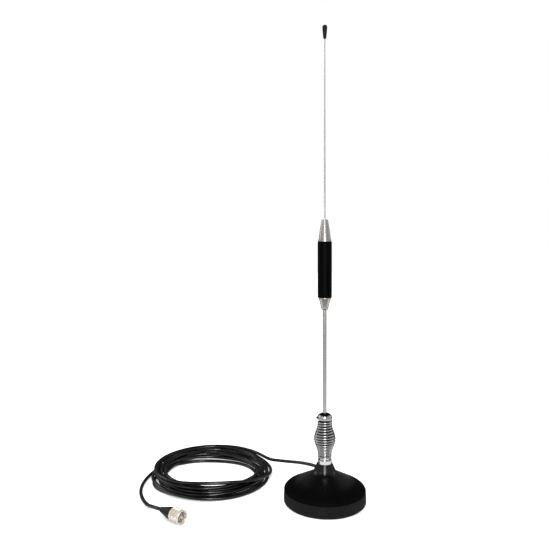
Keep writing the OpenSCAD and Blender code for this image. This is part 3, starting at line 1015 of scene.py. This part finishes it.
cover_outline = [
    (NECK_BORE, neck_top), (NECK_R, neck_top, 0.5),
    *bend(along((NECK_R, neck_top), neck_foot, 0.7), neck_foot, along(neck_foot, shoulder, 0.12)),
    *bend(along(neck_foot, shoulder, 0.86), shoulder, (rim_r - 0.2, band_top + 0.5), 12),
    (rim_r - 0.5, band_top, 0.2), (inner_r + 2.4, band_top, 0.1), (inner_r + 2.4, cover_low, 0.4),
    (inner_r, cover_low, 0.4), (inner_r, band_top + 2, 1.5), (inner_r - 3.7, band_top + 5.6, 2),
    (neck_foot[0] - 2, neck_foot[1] - 1.8, 3), (neck_foot[0] - 5, neck_top - 7, 0.8),
    (NECK_BORE, neck_top - 7),
]
boss = [(1.5, 16.6), (4, 16.6, 0.3), (4, band_top + 5.5), (1.5, band_top + 5.5)]
cover_parts = [spun(cover_outline, closed=True, around=192)]
for k in range(3):
    turned_by = Matrix.Rotation(math.radians(90 + 120 * k), 4, "Z")
    cover_parts.append(spun(boss, True, 32, turned_by @ Matrix.Translation(Vector((BOSS_AT, 0, 0)) * MM)))
base_cover = finished("magnet_base_cover", as_mesh("cover", *cover_parts), gloss_black)
fitted(base_cover, "base", "cover_plastic", "base_cover")

band_outline = [
    (rim_r - 4.4, band_low, 0.3), (rim_r, band_low, 1.4), (rim_r, band_top - 5, 2),
    (rim_r - 0.4, band_top, 0.5), (rim_r - 2.4, band_top, 0.2), (rim_r - 2.4, band_low + 1.3, 0.2),
    (rim_r - 4.4, band_low + 1.3, 0.3),
]
turned_part("rubber_band", band_outline, band_rubber, "base", "band_rubber", "base_band", True, 192)

# %% [markdown]
# ## The cable gland
# A small rubber collar seals the hole where the cable leaves the neck. It has a bead that
# snaps into the wall and a lip that thins towards the cable, which keeps the bend gentle.
# It is turned like the rest, then laid along the direction that the cable leaves in.

# %% Gland
def laid(at, x, y):
    """Lays Z along the level direction x, y and moves the origin to a point, in millimetres."""
    turned = Matrix.Rotation(math.atan2(y, x), 4, "Z") @ Matrix.Rotation(math.pi / 2, 4, "Y")
    return Matrix.Translation(Vector(at) * MM) @ turned


gland_place = laid((0, 0, lead_route[0][2]), -0.6, 0.8)
cable_r = CABLE_D / 2
gland_outline = [
    (cable_r, 12.9), (3.2, 12.9, 0.2), (3.2, 17.6, 0.4), (2.9, 18, 0.2), (2.95, 18.6, 0.2),
    (2.75, 20, 0.2), (cable_r - 0.05, 20, 0.1),
]
turned_part(
    "cable_gland_collar", gland_outline, gland_rubber, "base", "boot_rubber", "cable_gland",
    True, 48, gland_place,
)

# %% [markdown]
# ## The spring's two fittings
# The foot ring and the domed head are polished and plated. The spring is a tight push fit
# over a spigot on each. The head's dome closes in on the mast, which slides in it and is
# held by a small set screw at the side, in a hole cut through the dome's skirt.

# %% Foot ring
ring_low, ring_high = low("spring_foot"), high("spring_foot")
foot_outline = [
    (0, ring_low + 9), (4, ring_low + 9), (4, ring_low), (10.25, ring_low, 0.5),
    (10.25, ring_low + 6, 0.7), (7.2, ring_low + 6, 0.3), (7.2, ring_high, 0.8), (0, ring_high),
]
turned_part("spring_foot_ring", foot_outline, chrome, "base", "chrome", "spring_foot", around=128)

# %% Domed head with its screw hole
head_foot, head_top = low("spring_head"), high("spring_head")
head_low = head_foot + 12.6
screw_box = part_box("set_screw")
screw_z = (screw_box[0][2] + screw_box[1][2]) / 2 / MM
screw_r = (screw_box[1][2] - screw_box[0][2]) / 2 / MM
mast_r = reach("lower_mast")
BORE_CLEAR = 0.05
screw_place = Matrix.Translation((0, 0, screw_z * MM)) @ Matrix.Rotation(-math.pi / 2, 4, "Y")
head_outline = [
    (0, head_foot), (8, head_foot, 0.6), (8, head_low, 0.3), (10.8, head_low, 0.5),
    (10.8, head_low + 2.8),
    *bend((10.78, head_low + 3), (10.0, head_top - 1.4), (3.5, head_top - 0.1), 14),
    (3.2, head_top, 0.1),
    (mast_r + BORE_CLEAR, head_top - 0.3), (mast_r + BORE_CLEAR, head_foot + 2), (0, head_foot + 2),
]
head = turned_piece("spring_dome", head_outline, head_chrome, around=128)


def bored(piece, outline, place, around=32):
    """Cuts a hole of that outline out of the piece."""
    tool = turned_piece("tool", outline, chrome, False, around, place)
    cut = piece.modifiers.new("hole", "BOOLEAN")
    cut.object = tool
    cut.solver = "EXACT"
    plain_mesh(piece)
    bpy.data.objects.remove(tool)


bored(head, [(0, 5), (screw_r + 0.1, 5), (screw_r + 0.1, 14), (0, 14)], screw_place)
fitted(head, "spring_top", "chrome", "spring_head")

# %% Set screw
screw_near = mast_r + BORE_CLEAR
screw_far = -screw_box[0][0] / MM
SCREW_PITCH = 0.7
threads = int((screw_far - screw_near - 2 * SCREW_PITCH) / SCREW_PITCH)
screw_outline = [(0, screw_near), (1.2, screw_near), (screw_r - 0.3, screw_near + 0.5)]
for k in range(threads):
    crest = screw_near + SCREW_PITCH * (k + 1)
    screw_outline += [(screw_r, crest, 0.04), (screw_r - 0.32, crest + SCREW_PITCH / 2, 0.04)]
screw_outline += [(screw_r - 0.05, screw_far - 0.4, 0.1), (screw_r - 0.4, screw_far, 0.1), (0, screw_far)]
screw = turned_piece("mast_set_screw", screw_outline, dark_steel, False, 32, screw_place, sharp=30)
bored(screw, [(0, screw_far - 2.1), (1.15, screw_far - 2.1), (1.15, 20), (0, 20)], screw_place, 6)
fitted(screw, "spring_top", "dark_steel", "set_screw")

# %% [markdown]
# ## Mast, loading coil and whip
# The mast is a drawn rod. Above it sits the loading coil, a winding on a former under a
# black sleeve, held between two nickel-plated ferrules: a bullet below and a long cone
# above. The thin whip tapers to a rubber cap, which keeps its end out of people's eyes.

# %% Mast and lower ferrule
mast_low, mast_top = low("lower_mast"), high("lower_mast")
mast_outline = [(0, mast_low), (mast_r, mast_low, 0.3), (mast_r, mast_top, 0.3), (0, mast_top)]
turned_part("mast_rod", mast_outline, drawn_rod, "mast", "stainless_rod", "lower_mast", around=64)

coil_z = low("coil_sleeve")
spigot_r = reach("coil_sleeve") - 1.3
lower, spigot_end = low("coil_lower_ferrule"), high("coil_lower_ferrule")
bullet_outline = [
    (0, mast_top), (mast_r, mast_top), (mast_r, lower + 0.3), (mast_r + 0.3, lower, 0.1),
    *bend((3.1, lower), (4.9, lower + 0.3), (5.4, lower + 3.5), 6), (5.42, lower + 4.2, 0.1),
    (5.2, lower + 4.35, 0.05), (5.2, lower + 4.6, 0.05),
    *bend((5.6, lower + 4.8), (7.4, lower + 12.5), (8.8, coil_z - 1.6), 10), (8.6, coil_z - 1.45, 0.05),
    (8.6, coil_z - 1.2, 0.05), (spigot_r, coil_z - 1.1, 0.1), (spigot_r, spigot_end, 0.4),
    (0, spigot_end),
]
turned_part(
    "lower_bullet_ferrule", bullet_outline, satin_nickel, "mast", "satin_nickel", "coil_lower_ferrule",
)

# %% Sleeve and winding
sleeve_r, sleeve_top = reach("coil_sleeve"), high("coil_sleeve")
sleeve_outline = [
    (spigot_r, coil_z, 0.3), (sleeve_r - 0.12, coil_z, 0.5), (sleeve_r, coil_z + 4, 2),
    (sleeve_r, sleeve_top - 4, 2), (sleeve_r - 0.12, sleeve_top, 0.5), (spigot_r, sleeve_top, 0.3),
]
turned_part(
    "shrunk_sleeve", sleeve_outline, sleeve_plastic, "mast", "sleeve_plastic", "coil_sleeve", True, 128,
)


def even_coil(name, material, turns, foot, rise, radius, wire_r, sides, place=None):
    """A coil of one radius and one pitch, so the sizes that shape a spring are idle."""
    return grown(
        name, coil, material, place, first_turn=0, last_turn=turns, pitch=rise / turns, saved_pitch=0,
        close_from=0, close_turns=0, wire_radius=wire_r, sides=sides, rise_from=foot, rise=rise,
        foot_radius=radius, head_radius=radius, belly=0, belly_height=0, belly_reach=1,
    )


COIL_WIRE_R = 0.6
winding = even_coil(
    "loading_winding", coil_enamel, WINDING_TURNS, winding_low + COIL_WIRE_R,
    winding_rise - 2 * COIL_WIRE_R, 6.6, COIL_WIRE_R, 16,
)
fitted(winding, "mast", "copper", "loading_coil")

# %% Upper ferrule, whip and cap
cone_low, upper = low("coil_upper_ferrule"), high("coil_upper_ferrule")
whip_low, whip_top = low("upper_whip"), high("upper_whip")
cap_low, tip = low("tip_cap"), high("tip_cap")
whip_r, tip_r = reach("upper_whip"), 0.75
cone_outline = [
    (0, cone_low), (spigot_r, cone_low, 0.4), (spigot_r, sleeve_top),
    (9.5, sleeve_top, 0.2), (9.5, sleeve_top + 2.4, 0.4),
    *bend((8.9, sleeve_top + 2.7), (7.4, sleeve_top + 17), (4.6, upper - 0.1), 14), (4.3, upper, 0.2),
    (whip_r + 0.3, upper), (whip_r, upper - 0.3), (whip_r, whip_low), (0, whip_low),
]
turned_part(
    "upper_cone_ferrule", cone_outline, satin_nickel, "mast", "satin_nickel", "coil_upper_ferrule",
)
whip_outline = [
    (0, whip_low), (whip_r, whip_low), (whip_r, upper + 1), (tip_r, cap_low), (tip_r, whip_top),
    (0, whip_top),
]
turned_part("tapered_whip", whip_outline, drawn_rod, "mast", "stainless_rod", "upper_whip", around=32)
cap_outline = [
    (0, whip_top), (tip_r, whip_top), (tip_r, cap_low), (1.9, cap_low, 0.2), (2.3, cap_low + 0.5, 0.2),
    *bend((3.6, tip - 4.5), (4.0, tip), (0, tip), 10),
]
turned_part("whip_tip_cap", cap_outline, tip_rubber, "mast", "tip_rubber", "tip_cap", around=64)

# %% [markdown]
# ## The plug
# The cable ends in a threaded coax plug. It lies on the table with its nut towards the
# right, so its parts are turned round their own axis and laid in place. Lengths here run
# back from the mouth of the nut. The rubber boot grips the cable, the body carries an
# insulator and the pin, and the nut turns freely round the body, held by its inner lip.

# %% Plug, body side
NUT_L = 18
BOOT_L = 24
PLUG_WAY = Vector((0.8, -0.6, 0))
plug_face = Vector(tail_route[-1]) + PLUG_WAY * (NUT_L + BOOT_L)
plug_place = laid(plug_face, PLUG_WAY.x, PLUG_WAY.y)
plug_nickel = metal("plug_nickel", tone(232, 224, 213), 0.24, TURNED, about=plug_place, metallic=0.6)
boot_rubber = moulding("boot_rubber", tone(8, 8, 9), 0.42, 0.7, 0.02, dust=0.05, about=plug_place)


def plug_part(name, corners, material, body, slot, node, closed=True, around=64):
    return turned_part(name, corners, material, body, slot, node, closed, around, plug_place)


boot_outline = [
    (2.45, -42, 0.1), (3.1, -42, 0.2), (3.7, -41.4, 0.3), (4.0, -39.8, 0.3),
    *bend((4.0, -39), (7.9, -26), (8.3, -22)), (8.3, -18.3, 0.4), (6.33, -18.3), (6.33, -28, 0.3),
    (2.45, -28, 0.3),
]
boot = plug_part("plug_boot", boot_outline, boot_rubber, "base", "boot_rubber", "connector_boot")


def sector_tree():
    g = Grower("teeth", "count", "inner radius", "outer radius", "foot", "head", "share")
    cube = g.node("GeometryNodeMeshCube", None, {"Size": (1, 1, 1), "Vertices X": 5})
    spot = g.node("GeometryNodeInputPosition")
    x, y, z = (g.part(spot, axis) for axis in "XYZ")
    radius = g["inner radius"] + (g["outer radius"] - g["inner radius"]) * (y + 0.5)
    height = g["foot"] + (g["head"] - g["foot"]) * (z + 0.5)
    tooth = g.wrapped(cube, x * g["share"] / g["count"] * TAU, radius, height)
    spin = g.vector(0, 0, g.index() * TAU / g["count"])
    turned = g.node("FunctionNodeEulerToRotation", None, {0: spin})
    inputs = {"Points": g.row(g["count"]), "Instance": tooth, "Rotation": turned}
    return g.finish(g.node("GeometryNodeInstanceOnPoints", None, inputs), smooth=False)


teeth = grown(
    "plug_teeth", sector_tree(), plug_nickel, plug_place, count=12, inner_radius=4.95,
    outer_radius=5.9, foot=-7.7, head=-6.7, share=0.6,
)
fitted(teeth, "base", "plug_nickel", "connector_body")
body_outline = [
    (2.45, -28, 0.2), (6.33, -28, 0.3), (6.33, -13.2), (7.1, -13.2, 0.2), (7.1, -11.2, 0.3),
    (5.95, -11.2, 0.1), (5.95, -7.5, 0.15), (4.95, -7.5, 0.15), (4.95, -22), (2.45, -22),
]
plug_body = plug_part("plug_body", body_outline, plug_nickel, "base", "plug_nickel", "connector_body")
insulator_outline = [
    (1.6, -22), (4.93, -22, 0.2), (4.93, -9, 0.3), (3.9, -9, 0.2), (3.7, -9.5, 0.2), (2.5, -9.5, 0.2),
    (2.3, -9, 0.1), (1.6, -9),
]
insulator = plug_part(
    "plug_insulator", insulator_outline, nylon, "base", "white_plastic", "connector_insulator", around=48,
)
pin_outline = [
    (0, -24), (1.6, -24, 0.2), (1.6, -9), (2, -9, 0.2), (2, -1.6, 0.3), (1.4, -1, 0.1), (0.9, -1, 0.1),
    (0.8, -1.3, 0.1), (0.8, -8), (0, -8),
]
pin = plug_part(
    "plug_centre_pin", pin_outline, plug_nickel, "base", "plug_nickel", "centre_pin", False, 48,
)

# %% [markdown]
# ## The coupling nut
# The nut is turned and then knurled, which rolls a fine diamond pattern into most of its
# outside and leaves a smooth band at the mouth. A grid is wrapped round the nut, and two
# sets of slanted ridges lift it: a point is as high as the lower of the two. The thread
# inside is the coil tree again, with a four-sided wire for the ridge.

# %% Coupling nut
KNURL = (-17.1, -3.3)
CREST = 9.9
nut_outline = [
    (6.4, -18, 0.2), (9.35, -18, 0.5), (9.6, -17.3, 0.2), (9.35, KNURL[0] + 0.05), (9.35, KNURL[1] - 0.05),
    (9.55, KNURL[1] + 0.15, 0.1), (CREST, KNURL[1] + 0.5, 0.2), (CREST, -0.8, 0.3), (9.2, 0, 0.2),
    (8.5, 0, 0.2), (8.05, -0.6, 0.1), (8.05, -13.5, 0.3), (6.4, -13.5, 0.3),
]
nut = plug_part(
    "plug_coupling_nut", nut_outline, plug_nickel, "coupling", "plug_nickel", "coupling_nut", around=96,
)


def knurl_tree():
    g = Grower("knurl", "low", "high", "radius", "depth", "around", "along")
    grid, x, y = g.sheet(g["around"], g["along"])
    one_way = x * g["around"] + y * g["along"]
    other_way = x * g["around"] - y * g["along"]
    ridges = [g.math("ABSOLUTE", g.math("WRAP", way, 1, 0) * 2 - 1) for way in (one_way, other_way)]
    lift = g.math("MINIMUM", *ridges) * (y * 14).between(0, 1) * ((1 - y) * 14).between(0, 1)
    radius = g["radius"] - g["depth"] * (1 - lift)
    height = g["low"] + (g["high"] - g["low"]) * y
    rolled = g.wrapped(grid, x * TAU, radius, height)
    return g.finish(g.closed(rolled, 0.01), smooth=False)


knurl = grown(
    "plug_knurl", knurl_tree(), plug_nickel, plug_place, low=KNURL[0], high=KNURL[1], radius=CREST,
    depth=0.5, around=54, along=12,
)
fitted(knurl, "coupling", "plug_nickel", "coupling_nut")
THREAD_PITCH = 1.06
THREAD_L = 12.4
thread = even_coil(
    "plug_nut_thread", plug_nickel, THREAD_L / THREAD_PITCH, -13.2, THREAD_L, 8.1, 0.48, 4, plug_place,
)
thread.data.set_sharp_from_angle(angle=math.radians(30))
fitted(thread, "coupling", "plug_nickel", "coupling_nut")

# %% [markdown]
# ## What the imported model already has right
# The pieces shut inside the foot, and the coil's former, have plain shapes that the CAD
# model gives exactly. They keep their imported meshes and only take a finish.

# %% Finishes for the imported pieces
packed_finishes = {
    "base_pad": pad_foam, "ring_magnet": ferrite, "steel_plate": plated_steel,
    "base_screws": plated_steel, "core_wire": bare_copper, "mount_stud": turned_brass,
    "stud_nut": turned_brass, "solder_lug": tinned_copper, "stud_insulator": nylon,
    "coil_former": nylon,
}
for node, finish in packed_finishes.items():
    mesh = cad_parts[node].data
    mesh.materials.clear()
    mesh.materials.append(finish)
print(len(packed_finishes), "packed pieces have a finish")

# %% [markdown]
# ## The cable is a cord
# The cable has its real length and thickness, leaves the neck and ends in the plug. It takes
# its jacket, moves with the foot and stands for the CAD model's lead, coil and tail, which are hidden.

# %% Cable as a cord
coax_cable.data.materials.append(cable_finish)
fitted(coax_cable, "base", "cable_jacket", "cable_lead", "cable_coil", "cable_tail")
print("a cord of", round(cable_length, 2), "m with a plug of eight pieces")

# %% [markdown]
# ## Floor and light
# A plain pale floor catches soft shadows, and glows a little so that they stay light. Shiny
# metal shows its surroundings, so the room matters more than the lamps. Rays from a mirror
# find it pale at the height of the antenna, bright just below and dark overhead, and they
# pass through the floor. A tall soft panel beside the camera draws the long highlight up
# the mast, the spring and the neck. Three more light the sides, one lights the plug, and a
# very soft sun fills in from above.

# %% Floor
floor_finish = Finish("pale_floor")
cloud = floor_finish.grain(120, detail=3)
floor_white = floor_finish.surface(
    floor_finish.blend(cloud, tone(243, 243, 243), tone(240, 240, 241)),
    0.7 + cloud * 0.1,
    floor_finish.bump(floor_finish.grain(3), 0.05),
    **{"Emission Color": (1, 1, 1, 1), "Emission Strength": 0.35},
)
SPAN = 6
corners = [(-SPAN, -SPAN, 0), (SPAN, -SPAN, 0), (SPAN, SPAN, 0), (-SPAN, SPAN, 0)]
floor_mesh = bpy.data.meshes.new("floor")
floor_mesh.from_pydata(corners, [], [(0, 1, 2, 3)])
floor_mesh.materials.append(floor_white)
floor = added("floor", floor_mesh)
floor.visible_glossy = False
print("floor", 2 * SPAN, "m wide")

# %% Room and lamps
bpy.context.scene.view_settings.view_transform = "Standard"
world = bpy.data.worlds.new("studio")
world.use_nodes = True
bpy.context.scene.world = world
room = Graph(world.node_tree)
rays = room.node("ShaderNodeLightPath").socket.node
seen = Value(room, rays.outputs["Is Camera Ray"])
mirrored = Value(room, rays.outputs["Is Glossy Ray"])
towards = room.node("ShaderNodeTexCoord", output="Generated")
across, behind, up = (room.part(towards, axis) for axis in "XYZ")
sideways = room.math("ABSOLUTE", across)
overhead_dark = room.mask(up - sideways * 0.4, 0.3, 0.8, 1, 0.08)
front_dark = 1 - room.mask(behind, -0.85, -0.95, 0, 0.7) * room.mask(up, 0.0, 0.15)
table_bright = room.mask(up, -0.2, -0.33, 1, 2.6)
front_below_dark = 1 - room.mask(up, -0.4, -0.55, 0, 0.82) * room.mask(behind, 0.1, -0.35)
back_dark = room.mask(behind, 0.1, 0.8, 1, 0.3)
MIRRORED_LIGHT = 0.38
PLAIN_LIGHT = 0.8
reflected = overhead_dark * table_bright * front_below_dark * back_dark * front_dark * MIRRORED_LIGHT
brightness = seen + (1 - seen) * (reflected * mirrored + PLAIN_LIGHT * (1 - mirrored))
shine = room.node("ShaderNodeBackground", None, {"Color": (1, 1, 1, 1), "Strength": brightness})
room.node("ShaderNodeOutputWorld", None, {"Surface": shine})


def panel(name, place, aim, width, height, glow):
    """A soft panel of that size in metres, as bright as glow times white."""
    light = bpy.data.lights.new(name, "AREA")
    light.shape = "RECTANGLE"
    light.size = width
    light.size_y = height
    light.energy = glow * math.pi * width * height
    lamp = added(name, light)
    lamp.location = place
    lamp.rotation_euler = (Vector(aim) - Vector(place)).to_track_quat("-Z", "Y").to_euler()
    lamp.visible_camera = False


# name, place, what it is aimed at, width, height and glow
panels = [
    ("front_panel", (-0.09, -1.15, 1.0), (0, 0, 0.1), 0.22, 1.5, 5.0),
    ("left_front_panel", (-1.25, -1.0, 1.3), (0, 0, 0.35), 0.35, 0.9, 0.8),
    ("left_rear_panel", (-1.6, 0.7, 0.9), (0, 0, 0.05), 0.9, 0.8, 1.0),
    ("right_rear_panel", (1.5, 0.5, 0.7), (0, 0, 0.05), 0.4, 0.6, 0.7),
    ("plug_panel", (-0.05, -0.5, 0.35), (-0.2, -0.07, 0.01), 0.3, 0.3, 3.0),
]
for row in panels:
    panel(*row)
sun = bpy.data.lights.new("overhead", "SUN")
sun.energy = 1.5
sun.angle = math.radians(70)
overhead = added("overhead", sun)
overhead.rotation_euler = (math.radians(12), math.radians(-8), 0)
overhead.visible_glossy = False
print("a room, a sun and", len(panels), "panels")
